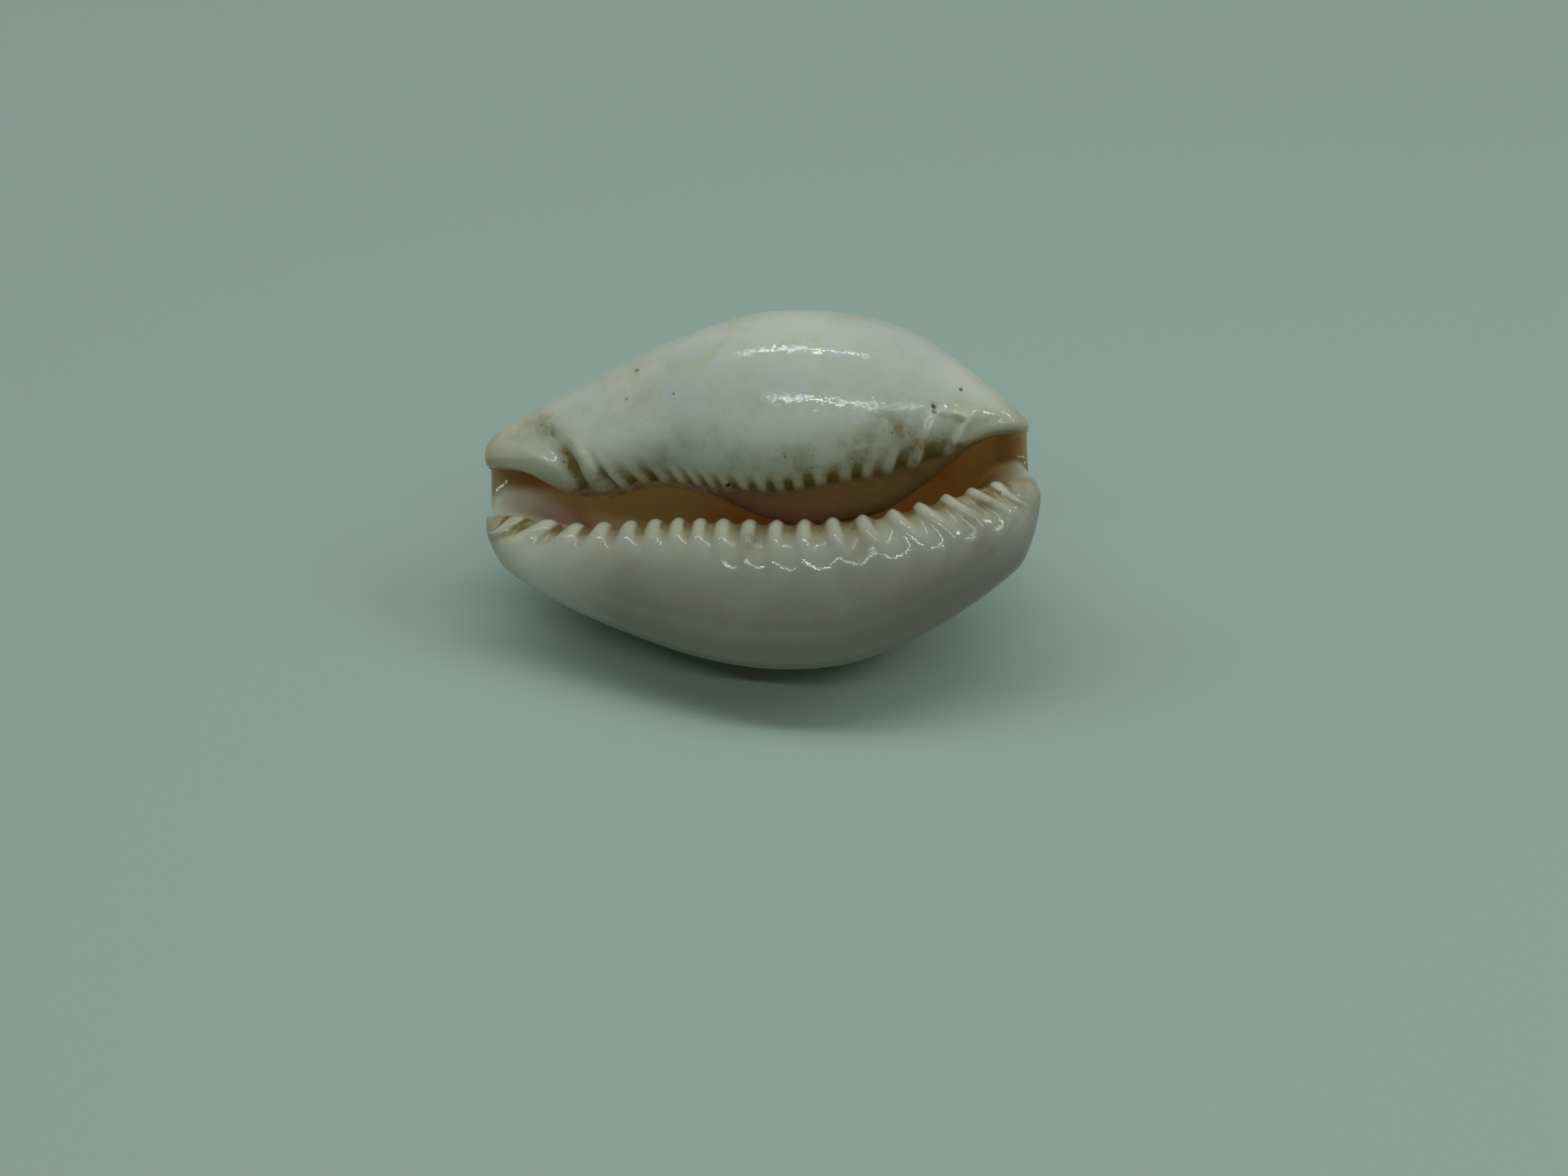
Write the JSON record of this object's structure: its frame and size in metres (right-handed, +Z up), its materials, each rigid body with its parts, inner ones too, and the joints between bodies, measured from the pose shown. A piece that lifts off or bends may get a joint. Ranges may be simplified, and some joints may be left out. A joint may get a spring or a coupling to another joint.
{
  "type": "white-spotted cowry shell",
  "caption": "Small glossy cowry shell lying on its back: toothed slit aperture, hollow inside, spotted tan back.",
  "frame": {"origin": "middle of the small flat on the shell's back that it rests on", "axes": "+X from the anterior end to the posterior end, +Z up, the toothed base faces -Y and +Z"},
  "size_m": [0.025, 0.0149, 0.0152],
  "materials": {
    "shell": "glossy porcelain-like shell, off-white base, tan back with brown rings"
  },
  "bodies": {
    "root": {"shell": "shell"}
  },
  "joints": []
}
